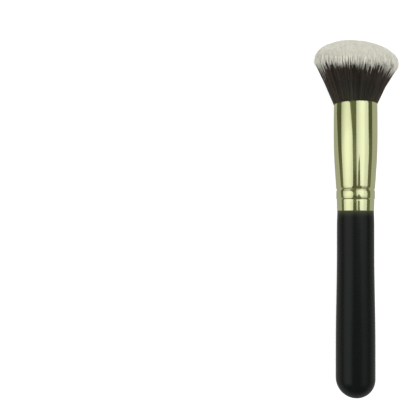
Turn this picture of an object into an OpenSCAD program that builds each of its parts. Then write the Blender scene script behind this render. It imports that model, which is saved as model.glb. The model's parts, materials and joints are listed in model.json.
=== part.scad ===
// Blush brush with a slanted, domed tuft, lying on its side on a flat surface.
// Every piece is drawn upright, with z running up the brush's axis from the
// butt of the handle, and the whole brush is then laid down along +Y.

/* [Handle] */
// Diameter of the round butt and of the parallel grip above it
butt_d = 16.3; // [13:0.1:24]
// Length of the parallel grip, which a brush stand can hold
grip_len = 14; // [6:0.5:24]
// Length of the handle in view, from its butt to the end of the ferrule
handle_len = 78.4; // [60:0.2:150]
// Diameter of the slim upper part
waist_d = 15.4; // [14:0.1:20]
// Length of the slim upper part
waist_len = 17; // [8:0.5:24]
// How far the ferrule's end stands proud of the lacquered shoulder
shoulder_step = 0.04; // [0:0.02:0.2]
// Length over which the slim part draws in to the shoulder
shoulder_ease = 6; // [2:0.5:8]
// Diameter of the tenon that enters the ferrule
tenon_d = 14.76; // [12:0.02:14.8]
// Air gap between the nose of the tenon and the glue plug
tenon_gap = 4.85; // [1:0.05:10]
// Chamfer on the nose of the tenon
tenon_chamfer = 1; // [0.2:0.1:2]

/* [Ferrule] */
// Length of the ferrule
ferrule_len = 45.3; // [42:0.1:60]
// Wall of the drawn tube
wall = 0.35; // [0.25:0.01:0.5]
// Outer diameter at the mouth
mouth_d = 17.9; // [17.6:0.02:22]
// Outer diameter at the widest place
belly_d = 18.14; // [18:0.02:23]
// Distance from the mouth down to the widest place
belly_drop = 10; // [6:0.5:14]
// Radius of the long bow of the side below the widest place
bow_r = 417; // [200:1:900]
// Slope of the side below the belly, in degrees
taper_angle = 3.85; // [2.5:0.05:6]
// Outer diameter at the foot of the taper, beside the upper groove
neck_d = 15.92; // [15.7:0.02:17]
// Outer diameter of the bead between the two rolled grooves
bead_d = 15.94; // [15.7:0.02:17]
// Outer diameter at the bottom of each rolled groove
groove_d = 15.44; // [15:0.02:15.6]
// Width of each rolled groove
groove_w = 1.4; // [0.8:0.1:2]
// Height of the lower groove above the ferrule's end
groove_h = 4.6; // [3:0.1:8]
// Distance between the two grooves
groove_pitch = 4.2; // [2.5:0.1:8]
// Outer diameter of the cuff just below the lower groove
cuff_d = 15.5; // [15.3:0.02:17]
// Outer diameter of the closed-in end of the cuff
end_d = 15.2; // [15:0.02:16]

/* [Tuft] */
// Height of the widest ring above the ferrule's mouth
shoulder_h = 18.6; // [16:0.1:30]
// Flare of the flank from the axis, in degrees
flare = 25.6; // [15:0.2:32]
// Radius of the turn from the flank to the widest ring
shoulder_round = 3.4; // [2:0.2:8]
// Height of the dome above the slanted cut
dome_h = 8.5; // [4:0.1:12]
// Squareness of the dome, where 2 is an ellipse
dome_power = 1.95; // [1.8:0.05:3]
// Slant of the cut, in degrees
slant = 12.7; // [0:0.1:16]
// Turn of the slant's low side from the front, in degrees
slant_turn = 17; // [0:1:40]
// How far the filaments spill over the ferrule's edge
spill = 0.2; // [0.1:0.02:0.3]
// Height over which they spill
spill_reach = 0.6; // [0.3:0.1:2]
// Sideways lean of the widest ring
lean = 1.3; // [0:0.05:2]
// Depth of the flutes between the locks of filaments
lock_depth = 0.3; // [0:0.02:0.5]
// Number of locks round the tuft
lock_count = 60; // [36:1:64]
// Distance from the widest ring down to the line where the pale tips begin
tip_drop = 3.5; // [1:0.1:6]
// Length of the dark and pale fingers that interlock along that line
finger_len = 1.6; // [0:0.1:2.5]
// Length of the root inside the ferrule
root_len = 20; // [17:0.2:20]
// Length of the root that fills the mouth before it narrows
root_full_len = 9; // [4:0.2:10]
// Length of the bound end of the root
bound_len = 7; // [6:0.2:8]
// How far the tuft is pressed flat where it lies on the surface
press = 0.85; // [0.2:0.05:1]

/* [Binding] */
// Thickness of the binding thread
thread_d = 0.7; // [0.4:0.05:0.8]
// Number of turns of the thread
thread_turns = 4; // [2:1:6]
// Distance between the turns
thread_pitch = 0.62; // [0.3:0.02:0.7]
// Distance from the end of the root up to the middle of the winding
thread_h = 4.4; // [3:0.1:5]
// Thickness of the glue between the thread and the ferrule
glue_cover = 0.2; // [0.1:0.02:0.6]
// Thickness of the glue plug below the root
plug_floor = 2.4; // [1:0.1:3]
// Thickness of the glue film, or the clearance, between fitted pieces
film = 0.05; // [0.03:0.01:0.1]

/* [Hidden] */
$fn = 96;

butt_r = butt_d / 2;
waist_r = waist_d / 2;
tenon_r = tenon_d / 2;
end_r = end_d / 2;
mouth_z = handle_len + ferrule_len;
upper_groove_h = groove_h + groove_pitch;
lacquer = [0.11, 0.12, 0.12];
pale_gold = [0.72, 0.75, 0.5];
dark_filament = [0.14, 0.11, 0.11];
pale_filament = [0.8, 0.8, 0.74];
waxed_thread = [0.85, 0.83, 0.76];
amber_glue = [0.78, 0.6, 0.28];

// Even stations from a up to, but not including, b
function span(a, b, steps) = [for (i = [0:steps - 1]) a + (b - a) * i / steps];
// Smooth step from 0 to 1
function ease(t) = t * t * (3 - 2 * t);
// The lesser of two lengths, with the corner between them rounded off
function soft_min(a, b, corner = 0.04) = -corner * ln(exp(-a / corner) + exp(-b / corner));

// Ferrule, by height h above its lower end
belly_h = ferrule_len - belly_drop;
function barrel_r(h) = belly_d / 2 - (
    h > belly_h ? (belly_d - mouth_d) / 2 * pow((h - belly_h) / belly_drop, 2)
    : pow(belly_h - h, 2) / (2 * bow_r));
function taper_r(h) = neck_d / 2 + tan(taper_angle) * (h - upper_groove_h);
function cuff_r(h) = end_r + (cuff_d / 2 - end_r) * h / groove_h;
function plain_r(h) =
    h > upper_groove_h ? soft_min(barrel_r(h), taper_r(h))
    : h > groove_h ? bead_d / 2
    : cuff_r(h);
// How far a height is into a groove, from 0 at its edge to 1 at its bottom
function groove_share(h, middle) =
    abs(h - middle) < groove_w / 2 ? (1 + cos(360 * (h - middle) / groove_w)) / 2 : 0;
function rolled(h) = max(groove_share(h, groove_h), groove_share(h, upper_groove_h));
function outer_r(h) = plain_r(h) + (groove_d / 2 - plain_r(h)) * rolled(h);
function inner_r(h) = outer_r(h) - wall;

// The glue plug's lower and upper ends, and the tenon's length up to its gap below the plug
cup_foot = ferrule_len - root_len - film;
plug_foot = cup_foot - plug_floor;
plug_brim = ferrule_len - root_len + bound_len;
tenon_len = plug_foot - tenon_gap;

edge_r = wall / 2;
ferrule_stations = concat(
    span(0, groove_h - groove_w / 2, 3),
    span(groove_h - groove_w / 2, groove_h + groove_w / 2, 8),
    span(groove_h + groove_w / 2, upper_groove_h - groove_w / 2, 2),
    span(upper_groove_h - groove_w / 2, upper_groove_h + groove_w / 2, 8),
    span(upper_groove_h + groove_w / 2, ferrule_len - edge_r, 24),
    [ferrule_len - edge_r]);
last_station = len(ferrule_stations) - 1;

module ferrule_profile() {
    outside = [for (h = ferrule_stations) [outer_r(h), h]];
    inside = [for (i = [last_station:-1:0]) [inner_r(ferrule_stations[i]), ferrule_stations[i]]];
    rim_middle = [outer_r(ferrule_len - edge_r) - edge_r, ferrule_len - edge_r];
    rim = [for (a = [30:30:150]) rim_middle + edge_r * [cos(a), sin(a)]];
    polygon(concat(outside, rim, inside));
}

module ferrule() {
    color(pale_gold) laid() translate([0, 0, handle_len]) rotate_extrude() ferrule_profile();
}

// Handle, by height z above the butt
taper_foot = butt_r + grip_len;
taper_head = handle_len - waist_len;
shoulder_r = end_r - shoulder_step;
function swell_r(z) = butt_r + (waist_r - butt_r) * ease((z - taper_foot) / (taper_head - taper_foot));
function brow_r(z) = waist_r + (shoulder_r - waist_r) * ease((z - handle_len + shoulder_ease) / shoulder_ease);
// The tenon is parallel, and drawn in where the cuff and the grooves close on it
function fitted_r(h) = min(tenon_r, inner_r(h) - film);

module handle_profile() {
    // Round butt
    intersection() {
        translate([0, butt_r]) circle(r = butt_r);
        square([butt_r, butt_r]);
    }
    // Grip, taper, slim part and shoulder
    polygon(concat(
        [[0, butt_r], [butt_r, butt_r]],
        [for (z = span(taper_foot, taper_head, 14)) [swell_r(z), z]],
        [for (z = span(taper_head, handle_len - shoulder_ease, 1)) [waist_r, z]],
        [for (z = span(handle_len - shoulder_ease, handle_len, 5)) [brow_r(z), z]],
        [[shoulder_r, handle_len], [0, handle_len]]));
    // Tenon
    tenon_top = tenon_len - tenon_chamfer;
    polygon(concat(
        [[0, handle_len]],
        [for (h = ferrule_stations) if (h < tenon_top) [fitted_r(h), handle_len + h]],
        [[fitted_r(tenon_top), handle_len + tenon_top],
         [fitted_r(tenon_top) - tenon_chamfer, handle_len + tenon_len],
         [0, handle_len + tenon_len]]));
}

module handle() {
    color(lacquer) laid() rotate_extrude() handle_profile();
}

// Tuft, by height z above the ferrule's mouth and turn a round the axis
root_r = mouth_d / 2 - wall - film;
bound_r = inner_r(plug_foot) - thread_d - glue_cover - 3 * film;
low_side = slant_turn - 90;
function flank_r(z) = root_r + spill * (1 - exp(-z / spill_reach)) + tan(flare) * z;
nominal_r = flank_r(shoulder_h);
// Height, start and radius of the widest ring at a turn
function widest_h(a) = shoulder_h - tan(slant) * nominal_r * cos(a - low_side);
function turn_h(a) = widest_h(a) - shoulder_round * sin(flare);
function widest_r(a) = flank_r(turn_h(a)) + shoulder_round * (1 - cos(flare));
function side_r(z, a) =
    (z < turn_h(a) ? flank_r(z)
     : widest_r(a) - shoulder_round + sqrt(pow(shoulder_round, 2) - pow(widest_h(a) - z, 2)))
    + lean * pow(z / widest_h(a), 2) * cos(a);

// Locks: crests on even sectors, flutes between them on odd ones
sectors = 2 * lock_count;
lock_size = rands(0.35, 1, sectors, 11);
finger_size = rands(0.25, 1, sectors, 23);
function is_crest(i) = i % 2 == 0 ? 1 : -1;
function lock_r(i, fade) = lock_depth / 2 * is_crest(i) * lock_size[i] * fade;
function turn_of(i) = 360 * i / sectors;
function tip_line(i) =
    widest_h(turn_of(i)) - tip_drop + finger_len / 2 * is_crest(i) * finger_size[i];

// The surface that the brush lies on, seen in the upright frame
function lowered(p) = [p[0], min(p[1], (butt_r + (p[2] - butt_r) * sin(rest_tilt)) / cos(rest_tilt)), p[2]];
function at(r, i, z) = [r * cos(turn_of(i)), r * sin(turn_of(i)), mouth_z + z];

function root_ring(r, z) = [for (i = [0:sectors - 1]) at(r, i, z)];
function filling_ring(z) = root_ring(inner_r(ferrule_len + z) - film, z);
function side_ring(from, to) = [for (i = [0:sectors - 1])
    let (z = from[i] + to[i], a = turn_of(i))
    at(side_r(z, a) + lock_r(i, z / widest_h(a)), i, z)];
function dome_ring(b) = [for (i = [0:sectors - 1])
    let (a = turn_of(i), out = pow(cos(b), 2 / dome_power), up = pow(sin(b), 2 / dome_power),
         r = (side_r(widest_h(a), a) + lock_r(i, out)) * out,
         z = shoulder_h + (widest_h(a) - shoulder_h) * out + dome_h * up)
    at(r, i, z)];

tip_lines = [for (i = [0:sectors - 1]) tip_line(i)];
nothing = [for (i = [0:sectors - 1]) 0];
function share(values, part) = [for (v = values) v * part];
to_widest = [for (i = [0:sectors - 1]) widest_h(turn_of(i)) - tip_lines[i]];

dark_shares = [0.03, 0.08, 0.16, 0.3, 0.45, 0.6, 0.75, 0.88, 1];
dark_rings = concat(
    [root_ring(bound_r, -root_len), root_ring(bound_r, bound_len - root_len)],
    [for (part = [1:-0.25:0]) filling_ring(-root_full_len * part)],
    [for (part = dark_shares) side_ring(share(tip_lines, part), nothing)]);
pale_rings = concat(
    [for (part = [0:0.25:1]) side_ring(tip_lines, share(to_widest, part))],
    [for (b = [12:11:78]) dome_ring(b)]);
tip_middle = [0, 0, mouth_z + shoulder_h - tip_drop];
root_end = [0, 0, mouth_z - root_len];
crown = [0, 0, mouth_z + shoulder_h + dome_h];

// Tilt of the axis when the butt and the pressed tuft both lie on the surface
function support_angle(y, z) = atan2(y, z) - asin(butt_r / norm([y, z]));
rest_tilt = max([for (ring = pale_rings) for (p = ring) support_angle(p[1] - press, p[2] - butt_r)]);

// A closed skin over rings of points, from a point below to a point above
module skin(low, rings, high) {
    count = len(rings);
    first_high = 1 + count * sectors;
    function id(k, i) = 1 + k * sectors + i % sectors;
    polyhedron(
        points = concat([lowered(low)], [for (ring = rings) for (p = ring) lowered(p)], [lowered(high)]),
        faces = concat(
            [for (i = [0:sectors - 1]) [0, id(0, i), id(0, i + 1)]],
            [for (k = [0:count - 2]) for (i = [0:sectors - 1]) each [
                [id(k, i), id(k + 1, i), id(k + 1, i + 1)],
                [id(k, i), id(k + 1, i + 1), id(k, i + 1)]]],
            [for (i = [0:sectors - 1]) [first_high, id(count - 1, i + 1), id(count - 1, i)]]));
}

module bristle_tuft() {
    color(dark_filament) laid() skin(root_end, dark_rings, tip_middle);
    color(pale_filament) laid() skin(tip_middle, pale_rings, crown);
}

// Binding thread, wound round the bound end of the root
thread_r = thread_d / 2;
thread_z = mouth_z - root_len + thread_h;
winding_half = (thread_turns - 1) * thread_pitch / 2;

module binding_thread() {
    color(waxed_thread) laid() rotate_extrude()
        for (turn = [0:thread_turns - 1])
            translate([bound_r + film + thread_r, thread_z - winding_half + turn * thread_pitch])
                circle(r = thread_r, $fn = 24);
}

// Glue plug, a cup that holds the bound end of the root and fills the tube
cup_r = bound_r + film;
winding_r = cup_r + thread_d + film;
winding_low = ferrule_len - root_len + thread_h - winding_half - thread_r - film;
winding_high = ferrule_len - root_len + thread_h + winding_half + thread_r + film;

module root_glue_plug() {
    color(amber_glue) laid() translate([0, 0, handle_len]) rotate_extrude()
        polygon(concat(
            [[0, plug_foot]],
            [for (h = span(plug_foot, plug_brim, 4)) [inner_r(h) - film, h]],
            [[inner_r(plug_brim) - film, plug_brim], [cup_r, plug_brim],
             [cup_r, winding_high], [winding_r, winding_high],
             [winding_r, winding_low], [cup_r, winding_low],
             [cup_r, cup_foot], [0, cup_foot]]));
}

// The brush at rest: lying along +Y, with the middle of its footprint at the origin
along = [sin(rest_tilt), cos(rest_tilt)];
function reach_y(p) = p[1] * along[0] + (p[2] - butt_r) * along[1];
pale_points = [for (ring = pale_rings) for (p = ring) lowered(p)];
side_x = [for (p = pale_points) p[0]];
far_y = max([for (p = concat(pale_points, [crown])) reach_y(p)]);
rest_x = -(max(side_x) + min(side_x)) / 2;
rest_y = -(far_y - butt_r) / 2;

module laid() {
    translate([rest_x, rest_y, butt_r])
        rotate([rest_tilt - 90, 0, 0])
            translate([0, 0, -butt_r]) children();
}

handle();
ferrule();
bristle_tuft();
binding_thread();
root_glue_plug();
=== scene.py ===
import json
import math

import bpy
import numpy as np
from mathutils import Matrix, Vector
from mathutils.bvhtree import BVHTree


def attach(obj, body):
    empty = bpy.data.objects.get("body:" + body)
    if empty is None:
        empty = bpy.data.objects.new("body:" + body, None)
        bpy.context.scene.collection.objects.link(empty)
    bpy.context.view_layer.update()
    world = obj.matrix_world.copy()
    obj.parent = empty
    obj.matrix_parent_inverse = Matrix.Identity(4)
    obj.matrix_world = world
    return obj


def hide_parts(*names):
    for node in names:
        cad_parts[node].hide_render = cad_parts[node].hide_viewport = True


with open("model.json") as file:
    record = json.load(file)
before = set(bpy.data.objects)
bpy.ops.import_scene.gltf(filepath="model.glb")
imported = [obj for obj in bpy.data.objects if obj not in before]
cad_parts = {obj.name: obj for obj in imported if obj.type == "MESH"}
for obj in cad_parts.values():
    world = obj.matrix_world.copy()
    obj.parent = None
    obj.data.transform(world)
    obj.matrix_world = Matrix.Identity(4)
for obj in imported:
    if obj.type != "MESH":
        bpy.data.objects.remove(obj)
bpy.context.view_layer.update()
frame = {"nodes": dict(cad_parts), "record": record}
bpy.context.scene.view_settings.view_transform = "Standard"

# Handle: turned beech, sanded and sprayed with satin black lacquer. Just below the ferrule the
# lacquer gets a painted bronze reflection of the gold ferrule, which fades out down the
# handle. Its tenon is glued into the ferrule and gripped by the ferrule's grooves.
MM = 0.001  # sizes are written in millimetres times this
weld = 0.002 * MM  # points closer than this are made one

# The brush lies on its side, held up by its round butt and by the edge of its tuft. The
# grip mount of the record gives its axis. Every piece below is made upright on that axis,
# with the butt's pole at the origin, and then laid down.
grip = frame["record"]["mounts"][0]
to_butt = Vector(grip["axis"]).normalized()
to_tuft = -to_butt
butt_pole = Vector(grip["pos_m"]) + to_butt * MM * (
    grip["dims"]["r_mm"] + grip["dims"]["length_mm"] / 2
)
across = Vector((1, 0, 0))
to_table = to_tuft.cross(across)
lying = Matrix((across, to_table, to_tuft)).transposed().to_4x4()
lying.translation = butt_pole


def points_of(mesh):
    """A mesh's points, as rows of x, y, z in metres."""
    points = np.empty(len(mesh.vertices) * 3)
    mesh.vertices.foreach_get("co", points)
    return points.reshape(-1, 3)


def upright_points(mesh):
    """A lying mesh's points in the upright brush's frame."""
    raising = np.array(lying.inverted())
    return points_of(mesh) @ raising[:3, :3].T + raising[:3, 3]


def rings(node):
    """(height, inner radius, outer radius) of each ring of points on a turned CAD node."""
    points = upright_points(node.data)
    heights = np.round(points[:, 2], 6)
    radii = np.hypot(points[:, 0], points[:, 1])
    seam_points = 10  # a ring with fewer points is only the mesh's seam
    pole_radius = 0.1 * MM  # unless it is as small as this, at the pole
    found = []
    for height in np.unique(heights):
        ring = radii[heights == height]
        if len(ring) > seam_points or ring.max() < pole_radius:
            middle = (ring.min() + ring.max()) / 2
            found.append((height, ring[ring <= middle].mean(), ring[ring >= middle].mean()))
    return found


def turned(name, outline, steps, crease):
    """Spins an outline of (radius, height) round the axis and lays the piece down.
    Edges sharper than crease degrees stay crisp."""
    bpy.ops.object.select_all(action="DESELECT")
    bpy.ops.mesh.primitive_plane_add(size=MM)
    piece = bpy.context.object
    piece.name = piece.data.name = name
    bpy.ops.object.mode_set(mode="EDIT")
    bpy.ops.mesh.merge(type="CENTER")
    bpy.ops.transform.translate(value=(outline[0][0], 0, outline[0][1]))
    for (r0, h0), (r1, h1) in zip(outline, outline[1:]):
        bpy.ops.mesh.extrude_region_move(
            TRANSFORM_OT_translate={"value": (r1 - r0, 0, h1 - h0)}
        )
    bpy.ops.mesh.select_all(action="SELECT")
    bpy.ops.mesh.spin(steps=steps, angle=math.tau, center=(0, 0, 0), axis=(0, 0, 1))
    bpy.ops.mesh.select_all(action="SELECT")
    bpy.ops.mesh.remove_doubles(threshold=weld)
    bpy.ops.mesh.normals_make_consistent(inside=False)
    bpy.ops.object.mode_set(mode="OBJECT")
    piece.data.transform(lying)
    bpy.ops.object.shade_smooth_by_angle(angle=math.radians(crease))
    return piece


def finish_called(name):
    """A new material."""
    made = bpy.data.materials.new(name)
    made.use_nodes = True
    return made


def fed(finish, node, *terms, **inputs):
    """Sets a node's inputs, in their order or by name, with _ for a space. Each is given
    a value, or a socket to link."""
    sockets = list(zip(node.inputs, terms))
    sockets += [(node.inputs[name.replace("_", " ")], value) for name, value in inputs.items()]
    for socket, value in sockets:
        if isinstance(value, bpy.types.NodeSocket):
            finish.node_tree.links.new(value, socket)
        else:
            socket.default_value = value
    return node


def wired(finish, kind, settings=(), *terms, **inputs):
    """Adds a node. settings are the node's own, and terms and inputs are as fed's."""
    made = finish.node_tree.nodes.new(kind)
    for name, value in dict(settings).items():
        setattr(made, name, value)
    return fed(finish, made, *terms, **inputs)


def coated(finish, **looks):
    """Sets a material's Principled shader."""
    fed(finish, finish.node_tree.nodes["Principled BSDF"], **looks)


def own_place(finish):
    """The piece's own coordinates, which its patterns are fixed to."""
    return wired(finish, "ShaderNodeTexCoord").outputs["Object"]


def drawn_out(finish, stretch):
    """The same, for a pattern that is stretch times longer along the brush."""
    longer = wired(
        finish, "ShaderNodeMapping", Vector=own_place(finish), Scale=(1, 1 / stretch, 1)
    )
    return longer.outputs["Vector"]


def mottle(finish, place, scale, detail):
    """An uneven pattern, finer for a higher scale."""
    noise = wired(finish, "ShaderNodeTexNoise", Vector=place, Scale=scale, Detail=detail)
    return noise.outputs["Fac"]


def ranged(finish, value, taken, given):
    """Turns a value in the range taken into one in the range given."""
    fitted = wired(
        finish,
        "ShaderNodeMapRange",
        Value=value,
        From_Min=taken[0],
        From_Max=taken[1],
        To_Min=given[0],
        To_Max=given[1],
    )
    return fitted.outputs["Result"]


def toned(finish, amount, low, high):
    """The colour low where amount is 0, high where it is 1, and a mix between."""
    mix = wired(finish, "ShaderNodeMixRGB", Fac=amount, Color1=low, Color2=high)
    return mix.outputs["Color"]


def raised(finish, pattern, strength, depth, **under):
    """Bumps as high as a pattern, at most depth, on top of any bumps under them."""
    bumps = wired(
        finish, "ShaderNodeBump", Height=pattern, Strength=strength, Distance=depth, **under
    )
    return bumps.outputs["Normal"]


least_step = 0.05 * MM  # a ring is wider than this only at the shoulder, round the tenon
handle_outline = []
for height, inner, outer in rings(frame["nodes"]["handle"]):
    handle_outline.append((outer, height))
    if outer - inner > least_step:
        handle_outline.append((inner, height))
        step_height = height
handle_outline[0] = (0, handle_outline[0][1])
handle_outline.append((0, handle_outline[-1][1]))
handle_piece = turned("lacquered_handle", handle_outline, steps=128, crease=35)

lacquer = finish_called("satin_black_lacquer")
mottled = (0.3, 0.7)  # the range that most of a mottle's values lie in
grain = mottle(lacquer, drawn_out(lacquer, stretch=14), scale=700, detail=4)
spray = mottle(lacquer, own_place(lacquer), scale=1600, detail=3)
lacquer_tone = toned(
    lacquer, grain, low=(0.0018, 0.0032, 0.0034, 1), high=(0.0036, 0.0058, 0.0062, 1)
)
# painted reflection: the gold ferrule's bronze tint on the black lacquer just below it,
# strongest at the shoulder and fading out down the handle
painted_ferrule_reflection = (0.068, 0.075, 0.036, 1)
step_at = (lying @ Vector((0, 0, step_height))).y
reflection_from = step_at - 3.8 * MM  # where the painted reflection of the ferrule starts
along_handle = wired(lacquer, "ShaderNodeSeparateXYZ", Vector=own_place(lacquer)).outputs["Y"]
near_step = ranged(lacquer, along_handle, (reflection_from, step_at), (0, 1))
reflection_share = wired(lacquer, "ShaderNodeMath", {"operation": "POWER"}, near_step, 2.2)
spray_peel = raised(lacquer, spray, strength=0.16, depth=0.012 * MM)
coated(
    lacquer,
    Base_Color=toned(
        lacquer, reflection_share.outputs["Value"], low=lacquer_tone, high=painted_ferrule_reflection
    ),
    Roughness=ranged(lacquer, spray, mottled, (0.25, 0.31)),
    Normal=raised(lacquer, grain, strength=0.2, depth=0.01 * MM, Normal=spray_peel),
    Specular_IOR_Level=0.27,
)
handle_piece.data.materials.append(lacquer)
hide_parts("handle")
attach(handle_piece, "root")

# Ferrule: one drawn tube of thin aluminium, polished and anodised pale gold. Two grooves
# are rolled round its lower end to grip the tenon, with a bead between them, and its
# mouth is turned in to a smooth rim.
ferrule_rings = rings(frame["nodes"]["ferrule"])
ferrule_outline = [(outer, height) for height, inner, outer in ferrule_rings]
ferrule_outline += [(inner, height) for height, inner, outer in reversed(ferrule_rings[:-1])]
ferrule_outline.append(ferrule_outline[0])
ferrule_piece = turned("anodised_ferrule", ferrule_outline, steps=160, crease=42)

gold = finish_called("pale_gold_anodised_aluminium")
draw_lines = mottle(gold, drawn_out(gold, stretch=30), scale=900, detail=4)
handling = mottle(gold, own_place(gold), scale=160, detail=5)
coated(
    gold,
    Base_Color=toned(gold, draw_lines, low=(0.82, 0.86, 0.52, 1), high=(0.89, 0.93, 0.58, 1)),
    Roughness=ranged(gold, handling, mottled, (0.07, 0.12)),
    Normal=raised(gold, draw_lines, strength=0.12, depth=0.004 * MM),
    Metallic=1,
)
ferrule_piece.data.materials.append(gold)
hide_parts("ferrule")
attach(ferrule_piece, "root")

# Binding thread: a few turns of waxed cotton thread that bind the filaments below the
# mouth. The ferrule hides it. It keeps its CAD mesh, and gets the twist and fuzz of spun
# cotton.
cotton = finish_called("waxed_cotton")
twist = wired(
    cotton,
    "ShaderNodeTexWave",
    {"bands_direction": "DIAGONAL"},
    Vector=own_place(cotton),
    Scale=900,
    Distortion=2,
).outputs["Fac"]
coated(
    cotton,
    Base_Color=toned(cotton, twist, low=(0.42, 0.38, 0.30, 1), high=(0.66, 0.62, 0.52, 1)),
    Normal=raised(cotton, twist, strength=0.5, depth=0.05 * MM),
    Roughness=0.8,
)
thread_mesh = frame["nodes"]["binding_thread"].data
thread_mesh.materials.clear()
thread_mesh.materials.append(cotton)

# Glue plug: clear amber epoxy, poured into the ferrule round the bound roots, which set
# in it. The ferrule hides it too. It keeps its CAD mesh, and gets the swirls and bubbles
# of poured glue.
epoxy = finish_called("amber_epoxy")
swirl = mottle(epoxy, own_place(epoxy), scale=300, detail=3)
bubbles = wired(epoxy, "ShaderNodeTexVoronoi", Vector=own_place(epoxy), Scale=900)
coated(
    epoxy,
    Base_Color=toned(epoxy, swirl, low=(0.45, 0.26, 0.07, 1), high=(0.68, 0.46, 0.17, 1)),
    Roughness=ranged(epoxy, bubbles.outputs["Distance"], (0, 1), (0.35, 0.12)),
)
plug_mesh = frame["nodes"]["root_glue_plug"].data
plug_mesh.materials.clear()
plug_mesh.materials.append(epoxy)

# Tuft body: thousands of nylon filaments, dyed dark brown with undyed ivory tips. Below
# its surface they stand so close that they make one mass, which this body stands for:
# the CAD tuft's own mesh, drawn in a little above the mouth so that filaments cover it.
mouth_height = ferrule_rings[-1][0]
tuft_node = frame["nodes"]["bristle_tuft"]
tuft_points = upright_points(tuft_node.data)
tuft_faces = [tuple(face.vertices) for face in tuft_node.data.polygons]
tuft_skin = BVHTree.FromPolygons(tuft_points.tolist(), tuft_faces)
tuft_top = tuft_points[:, 2].max()


def flank(height, turn):
    """The CAD tuft's radius at a height above the mouth, on the side that turn faces,
    which is 0 at the right of the picture and a quarter turn at the table."""
    way = Vector((math.cos(turn), math.sin(turn), 0))
    hit = tuft_skin.ray_cast(Vector((0, 0, mouth_height + height)), way)[0]
    return math.hypot(hit.x, hit.y) if hit else 0.0


def crown(radius, turn):
    """The height above the mouth of the CAD tuft's domed end, at a radius."""
    start = Vector((radius * math.cos(turn), radius * math.sin(turn), tuft_top + MM))
    hit = tuft_skin.ray_cast(start, Vector((0, 0, -1)))[0]
    return hit.z - mouth_height if hit else 0.0


# The tuft's widest ring lies on a slanting plane, which is fitted to where the tuft is
# widest on each of 72 sides.
sides = np.linspace(0, math.tau, 72, endpoint=False)
levels = np.arange(12, 26, 0.25) * MM
widest = [max(levels, key=lambda level: flank(level, turn)) for turn in sides]
slant = np.linalg.lstsq(
    np.column_stack((np.ones_like(sides), np.cos(sides), np.sin(sides))), widest, rcond=None
)[0]


def widest_at(turn):
    """The height above the mouth of the tuft's widest ring."""
    return slant[0] + slant[1] * np.cos(turn) + slant[2] * np.sin(turn)


def dyed_to(turn):
    """The height above the mouth of the middle of the dye's edge, which slants down to
    the right of the picture and droops at both its sides."""
    middle, slope, droop = 13.74, 1.53, 0.7
    return (middle - slope * np.cos(turn) - droop * np.cos(turn) ** 2) * MM


def laid_down(points):
    """Points of the upright brush, where the brush lies."""
    laying = np.array(lying)
    return points @ laying[:3, :3].T + laying[:3, 3]


def dye(mesh, tint):
    """Gives each point of a mesh its filament colour, from rows of red, green, blue."""
    colour = mesh.color_attributes.new("filament_colour", "FLOAT_COLOR", "POINT")
    opaque = np.column_stack((tint, np.ones(len(tint))))
    colour.data.foreach_set("color", opaque.ravel().astype(np.float32))


root_brown = np.array((0.0243, 0.0208, 0.0153))
russet_brown = np.array((0.041, 0.0215, 0.0165))
tip_ivory = np.array((0.93, 0.92, 0.81))

bpy.ops.object.select_all(action="DESELECT")
tuft_body = tuft_node.copy()
tuft_body.data = tuft_node.data.copy()
tuft_body.name = tuft_body.data.name = "filament_mass"
for key in list(tuft_body.keys()):  # the marks of a CAD node, which the copy isn't
    del tuft_body[key]
tuft_body.parent = None
bpy.context.scene.collection.objects.link(tuft_body)
tuft_body.select_set(True)
bpy.context.view_layer.objects.active = tuft_body
bpy.ops.object.mode_set(mode="EDIT")
bpy.ops.mesh.select_all(action="SELECT")
bpy.ops.mesh.remove_doubles(threshold=weld)
bpy.ops.object.mode_set(mode="OBJECT")
bpy.ops.mesh.customdata_custom_splitnormals_clear()

draw_in = 0.075  # the share of its radius that the body lies under the filaments' ends
sink = 0.7 * MM  # how far it lies under their tips
ease_over = 2 * MM  # the height above the mouth over which both set in
body_points = upright_points(tuft_body.data)
body_turns = np.arctan2(body_points[:, 1], body_points[:, 0])
body_heights = body_points[:, 2] - mouth_height
undyed = body_heights > dyed_to(body_turns)
eased = np.clip(body_heights / ease_over, 0, 1)
body_points[:, :2] *= (1 - draw_in * eased)[:, None]
body_points[:, 2] -= sink * eased * np.clip(body_heights / (tuft_top - mouth_height), 0, 1)
tuft_body.data.vertices.foreach_set("co", laid_down(body_points).ravel().astype(np.float32))
shaded_ivory, shaded_brown = tip_ivory * 0.95, root_brown * 0.6
dye(tuft_body.data, np.where(undyed[:, None], shaded_ivory, shaded_brown))
bpy.ops.object.shade_smooth_by_angle(angle=math.radians(60))


def multiplied(finish, first, second):
    """One colour times another."""
    product = wired(
        finish,
        "ShaderNodeMixRGB",
        {"blend_type": "MULTIPLY"},
        Fac=1.0,
        Color1=first,
        Color2=second,
    )
    return product.outputs["Color"]


nylon = finish_called("dyed_nylon_filament")
strand_colour = wired(nylon, "ShaderNodeVertexColor", {"layer_name": "filament_colour"})
streak = mottle(nylon, drawn_out(nylon, stretch=10), scale=1500, detail=2)
streak_tone = ranged(nylon, streak, mottled, (0.9, 1.06))
coated(
    nylon,
    Base_Color=multiplied(nylon, strand_colour.outputs["Color"], streak_tone),
    Roughness=ranged(nylon, streak, (0, 1), (0.38, 0.55)),
    Specular_IOR_Level=0.4,
)
tuft_body.data.materials.clear()
tuft_body.data.materials.append(nylon)
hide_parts("bristle_tuft")
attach(tuft_body, "root")

# Flank filaments: fine tapered nylon hairs, rooted in the knot and fanned out to their
# places on the domed end. They cling together in locks and finer wisps, and each is dyed
# from the root to a slightly different height, which makes the ragged edge.
draws = np.random.default_rng(7)


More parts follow.
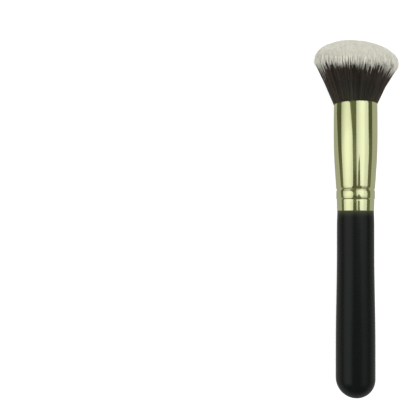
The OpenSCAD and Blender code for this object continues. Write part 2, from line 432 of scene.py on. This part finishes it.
def filament(name, ring_count):
    """One hair, as a triangle extruded ring by ring up z, one unit each, with a shut tip."""
    bpy.ops.object.select_all(action="DESELECT")
    bpy.ops.mesh.primitive_circle_add(vertices=3, radius=1, fill_type="NOTHING")
    hair = bpy.context.object
    hair.name = hair.data.name = name
    bpy.ops.object.mode_set(mode="EDIT")
    for _ in range(ring_count - 1):
        bpy.ops.mesh.extrude_region_move(TRANSFORM_OT_translate={"value": (0, 0, 1)})
    bpy.ops.mesh.edge_face_add()
    bpy.ops.mesh.select_all(action="SELECT")
    bpy.ops.mesh.normals_make_consistent(inside=False)
    bpy.ops.object.mode_set(mode="OBJECT")
    return hair


def planted(hair, path, thickness, tint):
    """Copies one hair along many paths, each with a random spin. path is (hairs, rings, 3)
    in the upright frame, thickness is (hairs, rings) and tint is (hairs, rings, 3)."""
    above_table = 0.02 * MM  # no point of a hair lies lower than this
    tiny = 1e-9  # keeps a length from being 0
    count = len(thickness)
    points = points_of(hair.data)
    ring = np.rint(points[:, 2]).astype(int)
    sides_of_hair = [tuple(face.vertices) for face in hair.data.polygons]
    outward = path[:, -1] * (1, 1, 0)
    outward /= np.linalg.norm(outward, axis=1)[:, None] + tiny
    along = path[:, -1] - path[:, 0]
    along /= np.linalg.norm(along, axis=1)[:, None]
    beside = np.cross(along, outward)
    beside /= np.linalg.norm(beside, axis=1)[:, None] + tiny
    facing = np.cross(beside, along)
    spin = draws.uniform(0, math.tau, count)[:, None]
    x = points[:, 0] * np.cos(spin) - points[:, 1] * np.sin(spin)
    y = points[:, 0] * np.sin(spin) + points[:, 1] * np.cos(spin)
    wide = thickness[:, ring] / 2
    places = (
        path[:, ring]
        + (x * wide)[..., None] * beside[:, None]
        + (y * wide)[..., None] * facing[:, None]
    )
    world = laid_down(places.reshape(-1, 3))
    world[:, 2] = np.maximum(world[:, 2], above_table)
    faces = [
        tuple(corner + first for corner in face)
        for first in range(0, count * len(points), len(points))
        for face in sides_of_hair
    ]
    name = hair.name
    bpy.data.objects.remove(hair)
    made = bpy.data.meshes.new(name)
    made.from_pydata(world.tolist(), [], faces)
    dye(made, tint[:, ring].reshape(-1, 3))
    made.materials.append(nylon)
    made.polygons.foreach_set("use_smooth", [True] * len(made.polygons))
    piece = bpy.data.objects.new(name, made)
    bpy.context.scene.collection.objects.link(piece)
    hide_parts("bristle_tuft")
    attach(piece, "root")


def locked(turns, count):
    """Shares turns out among locks: (lock, lean towards its middle in radians, place in it
    from 0 at its middle to 1 at its edge)."""
    steps = draws.uniform(0.5, 1.5, count)
    edges = np.cumsum(steps) / steps.sum() * math.tau
    lock = np.searchsorted(edges, turns % math.tau).clip(0, count - 1)
    low = np.concatenate(([0], edges))[lock]
    middle, half = (low + edges[lock]) / 2, (edges[lock] - low) / 2
    lean = middle - turns
    return lock, lean, np.abs(lean) / half


flank_count = 5200
flank_rings = 7  # each filament's rings of points, from its foot to its tip
lock_count, wisp_count = 56, 190
under_skin = 0.085  # the deepest that a filament lies, as a share of the tuft's radius
flank_places = np.arange(flank_count) + draws.uniform(0, 1, flank_count)
flank_turns = flank_places / flank_count * math.tau
depth = under_skin * draws.uniform(0, 1, flank_count) ** 1.3
lock, lock_lean, lock_place = locked(flank_turns, lock_count)
wisp, wisp_lean, wisp_place = locked(flank_turns, wisp_count)
lock_reach = draws.uniform(1.0, 4.4, lock_count) * MM  # how much higher its middle is dyed
lock_shift = draws.normal(0, 0.6, lock_count) * MM
wisp_reach = draws.uniform(0.4, 2.6, wisp_count) * MM
mean_place = 0.45  # the place in a lock or wisp where its reach adds nothing
dye_offset = (
    lock_shift[lock]
    + lock_reach[lock] * (mean_place - lock_place)
    + wisp_reach[wisp] * (mean_place - wisp_place)
    + draws.normal(0, 0.9, flank_count) * MM
)
lock_light = draws.normal(1, 0.045, lock_count)[lock]
lock_light = lock_light * draws.normal(1, 0.065, wisp_count)[wisp]
stray = draws.uniform(0, 1, flank_count)
stray_share = 0.1  # the share of filaments that stand out from the rest
stray_length = draws.uniform(0.78, 1, flank_count)

rim_share = 0.978  # where the tips end, as a share of the widest ring's radius
lock_cling, wisp_cling = 0.3, 0.35  # how far a tip leans to its lock's and wisp's middle
tip_wander = 0.006  # in radians
lowest_dye = 4 * MM  # the dye's edge is never lower
least_tip = 0.8 * MM  # nor closer to the tip
dye_fade = 0.12 * MM  # half the height in which the dye ends
least_rise = 0.2 * MM  # the least that a tip is taken to rise above the widest ring
stray_out = 1.0 * MM  # how far a stray's tip stands out
sag = 0.4 * MM  # how far filaments at the left sag out under the widest ring
root_drop = 1.2 * MM  # how far below the mouth a filament's mesh starts
path = np.zeros((flank_count, flank_rings, 3))
for i, turn in enumerate(flank_turns):
    tip_turn = turn + lock_cling * lock_lean[i] + wisp_cling * wisp_lean[i]
    tip_turn += draws.normal(0, tip_wander)
    share = 1 - depth[i]
    wide_at = widest_at(tip_turn)
    tip_radius = share * flank(wide_at, tip_turn) * rim_share
    tip_height = crown(tip_radius, tip_turn) + draws.normal(-0.2, 0.2) * MM
    astray = 0
    if stray[i] < stray_share:
        tip_height *= stray_length[i]
        astray = math.sqrt(stray[i] / stray_share)
    at_right = max(math.cos(turn), 0)
    out = (1 + 0.25 * at_right**4) * stray_out  # strays stand out most at the right
    sag_share = (0.5 - 0.5 * math.cos(turn)) ** 2  # from 0 at the right to 1 at the left
    edge = dyed_to(turn) + dye_offset[i]
    edge = min(max(edge, lowest_dye), tip_height - least_tip)
    # the heights of its rings: its foot, one in the dye, two at the dye's edge, and three
    # in the ivory
    stops = (
        -root_drop,
        edge * 0.5,
        edge - dye_fade,
        edge + dye_fade,
        edge + (tip_height - edge) * 0.37,
        edge + (tip_height - edge) * 0.7,
        tip_height,
    )
    for k, height in enumerate(stops):
        rise = max(height, 0) / tip_height
        way = turn + (tip_turn - turn) * rise**2
        radius = share * flank(min(height, wide_at), way)
        past = max(height - wide_at, 0) / max(tip_height - wide_at, least_rise)
        radius += (tip_radius - radius) * min(past, 1) ** 2
        radius += out * rise**4 * astray
        # the sag is greatest 5 times itself below the widest ring
        radius += sag * sag_share * math.exp(-(((height - wide_at) / sag + 5) / 4) ** 2)
        path[i, k] = (
            radius * math.cos(way),
            radius * math.sin(way),
            mouth_height + height,
        )

flank_taper = (0.9, 1, 1, 1, 1, 0.95, 0.45)  # the share of its thickness at each ring
stray_taper = (0.8, 0.8, 0.8, 0.8, 0.75, 0.7, 1.0)  # a stray is finer, with a blunt tip
thickness = np.outer(draws.normal(0.15, 0.015, flank_count), flank_taper) * MM
thickness[stray < stray_share] *= stray_taper
light = np.clip(lock_light * draws.normal(1, 0.12, flank_count), 0.55, 1.4)

# The dye takes unevenly: some filaments turn russet, and a few fade. Painted rim light makes
# the brown more often russet and paler at the left and right of the picture, where the tuft's
# outline is. The brown is paler just above the mouth and where it ends.
faded_brown = np.array((0.058, 0.052, 0.044))
dye_taken = draws.uniform(0, 1, flank_count)
# painted rim light: russet filaments are more common towards the left and right of the picture
russet_and_rim_light = (dye_taken < 0.05 + 0.25 * np.cos(flank_turns) ** 2)[:, None]
faded = (dye_taken > 0.985)[:, None]
# painted rim light: the brown is paler towards the left and right of the picture; the rest is
# a random tone
dye_depth_and_rim_light = light[:, None] ** 2 * (1 + 0.35 * np.cos(flank_turns) ** 4)[:, None]
root_tint = np.where(russet_and_rim_light, russet_brown, root_brown)
root_tint = np.where(faded, faded_brown, root_tint) * dye_depth_and_rim_light
edge_tint = (0.5 * root_tint + 0.5 * russet_brown * dye_depth_and_rim_light) * 1.55
foot_tint = root_tint * np.array((1.38, 1.54, 1.2))
tip_tint = tip_ivory * np.clip(0.68 + 0.32 * light[:, None], 0.7, 1.08)
# the ivory is darker near the dye's edge and paler towards the tip
tip_tints = [tip_tint * ivory_level for ivory_level in (0.58, 0.83, 0.94, 0.98)]
tint = np.stack([foot_tint, root_tint, edge_tint, *tip_tints], axis=1)
planted(filament("flank_filaments", flank_rings), path, thickness, tint)

# Crown filaments: the ends of the same nylon hairs from inside the tuft, which stand up
# out of the mass all over its domed end and gather in small clumps. They are made as two
# pieces, because one would have too many faces.
crown_count = 26000
crown_rings = 3
clump_count = 260
clump_cling = 0.06  # how far the tips of a clump draw together
golden_turn = math.pi * (3 - math.sqrt(5))
crown_places = np.arange(crown_count) + draws.uniform(-0.4, 0.4, crown_count)
crown_turns = np.arange(crown_count) * golden_turn + draws.normal(0, 0.004, crown_count)
crown_shares = np.sqrt(np.clip(crown_places, 1, None) / crown_count) * rim_share
stand = crown_shares[:, None] * np.column_stack((np.cos(crown_turns), np.sin(crown_turns)))
clump_turns = draws.uniform(0, math.tau, clump_count)
clump_shares = np.sqrt(draws.uniform(0, 1, clump_count))
clumps = clump_shares[:, None] * np.column_stack((np.cos(clump_turns), np.sin(clump_turns)))
clump = ((stand[:, None] - clumps[None]) ** 2).sum(axis=2).argmin(axis=1)
gather = (clumps[clump] - stand) * clump_cling
lifted = np.clip(draws.uniform(-24, 1, crown_count), 0, 1)  # a few stand above the others
lift = 0.7 * MM  # the furthest that they do
ring_depths = (3.2 * MM, 1.4 * MM, 0)  # how far each ring lies below the tip
fan_depth = 12 * MM  # how far below the mouth the filaments fan out from
path = np.zeros((crown_count, crown_rings, 3))
for i in range(crown_count):
    tip = stand[i] + gather[i]
    tip *= min(1, rim_share / math.hypot(*tip))
    turn, share = math.atan2(tip[1], tip[0]), math.hypot(*tip)
    tip_radius = share * flank(widest_at(turn), turn)
    tip_height = crown(tip_radius, turn) + draws.normal(-0.15, 0.14) * MM
    tip_height += lifted[i] * lift
    fan = tip_radius / (tip_height + fan_depth) * (0.9 + draws.normal(0, 0.12))
    for k, below in enumerate(ring_depths):
        radius = max(tip_radius - fan * below, 0) / max(share, 0.01)
        foot = tip - gather[i] * below / ring_depths[0]
        path[i, k] = (radius * foot[0], radius * foot[1], mouth_height + tip_height - below)
crown_taper = (1, 0.95, 0.6)
thickness = np.outer(draws.normal(0.18, 0.015, crown_count), crown_taper) * MM
clump_light = draws.normal(1, 0.02, clump_count)[clump]
light = np.clip(clump_light * draws.normal(1, 0.03, crown_count), 0.8, 1.1)[:, None]
tint = np.stack([tip_ivory * light * shade for shade in (0.93, 1, 1)], axis=1)
for half, part in (("a", slice(0, None, 2)), ("b", slice(1, None, 2))):
    hair = filament(f"crown_filaments_{half}", crown_rings)
    planted(hair, path[part], thickness[part], tint[part])

# Table: a plain white table top. It keeps the soft shadow under the brush, and camera and
# mirror rays see it white.
bpy.ops.object.select_all(action="DESELECT")
bpy.ops.mesh.primitive_plane_add(size=8)
table = bpy.context.object
table.name = "table_top"


def looked_at(finish):
    """1 for rays of the camera, of mirrors and of glass, and 0 for those of light."""
    ray = wired(finish, "ShaderNodeLightPath").outputs
    larger = {"operation": "MAXIMUM"}
    seen = wired(
        finish, "ShaderNodeMath", larger, ray["Is Camera Ray"], ray["Is Glossy Ray"]
    ).outputs["Value"]
    return wired(
        finish, "ShaderNodeMath", larger, seen, ray["Is Transmission Ray"]
    ).outputs["Value"]


white = finish_called("white_card")
near_glow, far_glow = 0.76, 1.1  # by the brush, where its shadow shows, and far off
near_to, far_from = 0.15, 0.6  # where they end and start, in metres from the origin
spread = wired(
    white, "ShaderNodeVectorMath", {"operation": "LENGTH"}, Vector=own_place(white)
).outputs["Value"]
table_glow = ranged(white, spread, (near_to, far_from), (near_glow, far_glow))
seen_glow = wired(
    white, "ShaderNodeMath", {"operation": "MULTIPLY"}, looked_at(white), table_glow
)
coated(
    white,
    Base_Color=(0.45, 0.45, 0.45, 1),
    Roughness=1,
    Specular_IOR_Level=0,
    Emission_Color=(1, 1, 1, 1),
    Emission_Strength=seen_glow.outputs["Value"],
)
table.data.materials.append(white)

# Studio: two long softboxes either side of the brush, with a dark gap above it where the
# camera is. What the metal mirrors is a set of cards of its own, which only mirror rays
# see: each softbox's cloth, and black and grey cards that shape the metal's bands.
ferrule_middle = lying @ Vector((0, 0, (ferrule_rings[0][0] + mouth_height) / 2))


def softbox(name, angle_from, angle_to, distance, length, radiance, ahead=0.0):
    """An area lamp, which faces the ferrule and spans two angles from straight up, in
    degrees, positive to the right. ahead moves it along, past the tuft."""
    along = Vector((0, 1, 0))
    middle = math.radians((angle_from + angle_to) / 2)
    away = Vector((math.sin(middle), 0, math.cos(middle)))
    facing_back = Matrix((along.cross(away), along, away)).transposed().to_4x4()
    place = ferrule_middle + away * distance + along * ahead
    lamp = bpy.data.lights.new(name, "AREA")
    lamp.shape = "RECTANGLE"
    lamp.size = 2 * distance * math.tan(math.radians((angle_to - angle_from) / 2))
    lamp.size_y = length
    lamp.energy = radiance * math.pi * lamp.size * lamp.size_y
    thing = bpy.data.objects.new(name, lamp)
    bpy.context.scene.collection.objects.link(thing)
    thing.matrix_world = Matrix.Translation(place) @ facing_back
    thing.visible_camera = thing.visible_glossy = False


plain = ((0, 1),)  # the shading of a card that is equally bright all over


def card(name, near, far, tone, reach=(-0.5, 0.5), shade_across=plain, shade_along=plain):
    """A card of one tone that only mirror rays see, between the x and z of its two edges
    at its near end and at its far one, which reach says in metres from the ferrule's
    middle. shade_across and shade_along are stops of (place from 0 to 1, brightness)."""
    bpy.ops.object.select_all(action="DESELECT")
    bpy.ops.mesh.primitive_plane_add(size=1)
    thing = bpy.context.object
    thing.name = name
    corners = [(x, ferrule_middle.y + reach[0], z) for x, z in near]
    corners += [(x, ferrule_middle.y + reach[1], z) for x, z in far]
    for vertex, corner in zip(thing.data.vertices, corners):
        vertex.co = corner
    paint = finish_called(name)
    paint.node_tree.nodes.clear()
    over_card = wired(paint, "ShaderNodeTexCoord").outputs["UV"]
    place = wired(paint, "ShaderNodeSeparateXYZ", Vector=over_card)
    shading = []
    for stops, axis in ((shade_across, "X"), (shade_along, "Y")):
        ramp = wired(paint, "ShaderNodeValToRGB", Fac=place.outputs[axis])
        ramp.color_ramp.interpolation = "EASE"
        points = ramp.color_ramp.elements
        for number, (at, level) in enumerate(stops):
            point = points[number] if number < 2 else points.new(at)
            point.position, point.color = at, (level, level, level, 1)
        if len(stops) == 1:
            points.remove(points[1])
        shading.append(ramp.outputs["Color"])
    shaded = multiplied(paint, multiplied(paint, *shading), (*tone, 1))
    glow = wired(paint, "ShaderNodeEmission", Color=shaded)
    wired(paint, "ShaderNodeOutputMaterial", Surface=glow.outputs["Emission"])
    thing.data.materials.append(paint)
    thing.visible_camera = thing.visible_diffuse = thing.visible_shadow = False
    thing.visible_transmission = thing.visible_volume_scatter = False


def facing(toward, distance, *angles):
    """x and z of the points that the ferrule sees at some angles on a flat card, which
    faces it from another angle."""
    reaches = [distance / math.cos(math.radians(angle - toward)) for angle in angles]
    return [
        (
            ferrule_middle.x + reach * math.sin(math.radians(angle)),
            ferrule_middle.z + reach * math.cos(math.radians(angle)),
        )
        for angle, reach in zip(angles, reaches)
    ]


def overhead(height, *angles):
    """x and z of the points at a height that the ferrule sees at some angles."""
    above = height - ferrule_middle.z
    return [
        (ferrule_middle.x + above * math.tan(math.radians(angle)), height) for angle in angles
    ]


def flat(x_from, x_to, height):
    """x and z of both edges of a card that lies flat."""
    return [(x_from, height), (x_to, height)]


def on_edge(x, low, high):
    """x and z of both edges of a card that stands on edge."""
    return [(x, low), (x, high)]


softbox("right_softbox", -8, 65, distance=0.50, length=1.2, radiance=0.65)
softbox("left_softbox", -89, -28, distance=0.60, length=1.2, radiance=0.74)
softbox("top_fill", -60, 60, distance=0.9, length=2.0, radiance=0.40, ahead=0.2)

near_end, far_end = -0.45, 0.45  # the cards' ends, in metres from the ferrule's middle
right_cloth = facing(26, 0.50, -14, 60.5)
left_cloth = facing(-57, 0.60, -90.8, -19)
card(
    "right_softbox_cloth",
    right_cloth,
    right_cloth,
    (1.02, 1.02, 1.0),
    reach=(near_end, far_end),
    shade_across=((0.1, 0.66), (0.507, 1), (0.587, 1), (0.749, 0.78), (1, 0.7)),
    shade_along=((0.35, 0.52), (0.43, 1)),
)
card(
    "left_softbox_cloth",
    left_cloth,
    left_cloth,
    (1.03, 1.03, 0.96),
    reach=(near_end, far_end),
    shade_across=((0, 0.62), (0.446, 1), (0.54, 1), (0.86, 0.77)),
    shade_along=((0.395, 0.87), (0.45, 1), (0.553, 1), (0.585, 0.88), (0.66, 0.80)),
)

black = (0.125, 0.13, 0.07)
dark = (0.17, 0.175, 0.105)
deep = (0.085, 0.09, 0.048)
grey = (0.402, 0.396, 0.36)

# the gap between the softboxes, which narrows over the ferrule
gap_height = 0.42
gap_near = overhead(gap_height, -36, 2)
gap_waist = overhead(gap_height, -26.5, -7)
gap = overhead(gap_height, -28, -8.3)
wide_gap = overhead(gap_height, -46, -8.3)
card("black_card_before", gap_near, gap_near, deep, reach=(near_end, -0.20))
card("black_card_above_handle", gap_near, gap_waist, deep, reach=(-0.20, -0.06))
card(
    "dark_card_above",
    gap_waist,
    gap,
    dark,
    reach=(-0.06, 0.03),
    shade_along=((0.7, 1), (1, 0.75)),
)
card("black_card_above_tuft", gap, wide_gap, black, reach=(0.03, 0.15))
card("black_card_beyond", wide_gap, wide_gap, black, reach=(0.15, far_end))

# a boom that points along the brush just under the gap, and comes to a point
boom_height = 0.41
boom_foot = overhead(boom_height, -8, 26)
boom_point = overhead(boom_height, 6.4, 6.4)
card("black_boom", boom_foot, boom_point, black, reach=(-0.14, -0.024))
card("black_boom_foot", boom_foot, boom_foot, black, reach=(near_end, -0.14))

# the right side: a black card over a grey one, both higher from the ferrule on, and the
# grey of the table in front of them
right_x = 0.31
right_upright = on_edge(right_x, 0.046, 0.19)
right_raised = on_edge(right_x, 0.056, 0.22)
right_foot = on_edge(right_x, 0.0, 0.046)
right_high_foot = on_edge(right_x, 0.0, 0.056)
card("black_card_right", right_upright, right_upright, black, reach=(near_end, 0.012))
card(
    "black_card_right_rise",
    right_upright,
    right_raised,
    black,
    reach=(0.012, 0.05),
    shade_along=((0, 1), (1, 0.7)),
)
card("black_card_right_far", right_raised, right_raised, deep, reach=(0.05, far_end))
card("grey_card_right_foot", right_foot, right_foot, grey, reach=(near_end, 0.012))
card("grey_card_right_foot_rise", right_foot, right_high_foot, grey, reach=(0.012, 0.05))
card("grey_card_right_foot_far", right_high_foot, right_high_foot, grey, reach=(0.05, far_end))
on_table = 0.0005  # the height of a card on the table
right_table = flat(0.0, right_x, on_table)
card("grey_card_right", right_table, right_table, grey, shade_across=((0, 0.78), (0.05, 1)))

# the left side: the same on the table, where the black comes closer from the ferrule on,
# and a low black card on edge at its end
left_x = -0.5
for part, near_x, far_x, reach, tone, fade in (
    ("near", -0.062, -0.062, (near_end, -0.02), black, 1),
    ("slant", -0.062, -0.033, (-0.02, 0.025), black, 0.7),
    ("far", -0.033, -0.033, (0.025, far_end), deep, 1),
):
    near, far = flat(left_x, near_x, on_table), flat(left_x, far_x, on_table)
    card(f"black_card_left_{part}", near, far, tone, reach, shade_along=((0, 1), (1, fade)))
    near, far = flat(near_x, 0.0, on_table), flat(far_x, 0.0, on_table)
    card(f"grey_card_left_{part}", near, far, grey, reach, shade_across=((0.7, 1), (1, 0.78)))
for part, near_top, far_top, reach in (
    ("near", 0.035, 0.035, (near_end, -0.06)),
    ("slant", 0.035, 0.010, (-0.06, 0.05)),
    ("far", 0.010, 0.010, (0.05, far_end)),
):
    near, far = on_edge(left_x, 0.0, near_top), on_edge(left_x, 0.0, far_top)
    card(f"black_card_left_upright_{part}", near, far, black, reach)

# black curtains across both ends
for name, at in (("black_curtain_near", -0.46), ("black_curtain_far", 0.46)):
    card(name, flat(-0.9, 0.9, 0.0), flat(-0.9, 0.9, 0.9), black, reach=(at, at))

air_light = 0.5  # what the air around adds to the lamps
air = bpy.data.worlds.new("studio_air")
bpy.context.scene.world = air
air.use_nodes = True
fed(
    air,
    air.node_tree.nodes["Background"],
    Color=(1, 1, 1, 1),
    Strength=ranged(air, looked_at(air), (0, 1), (air_light, 1.0)),
)

# Camera: it looks almost straight down on the brush, from left of it and above its
# handle, so the brush stands upright at the right of the picture.
camera_left = 62.28 * MM
camera_up_brush = 73.33 * MM
camera_above = 273 * MM
camera_pitch = math.radians(1.41)
camera_roll = math.radians(0.322)
lens_in_pixels = 646.8  # the focal length, in pixels of the picture
picture_width = 416
lens = bpy.data.cameras.new("camera")
lens.sensor_width = 36
lens.lens = lens_in_pixels * lens.sensor_width / picture_width
camera = bpy.data.objects.new("camera", lens)
bpy.context.scene.collection.objects.link(camera)
looking = Matrix((across, to_tuft, -to_table)).transposed().to_4x4()
camera.matrix_world = (
    Matrix.Translation(lying @ Vector((-camera_left, -camera_above, camera_up_brush)))
    @ looking
    @ Matrix.Rotation(camera_pitch, 4, "X")
    @ Matrix.Rotation(camera_roll, 4, "Z")
)
bpy.context.scene.camera = camera
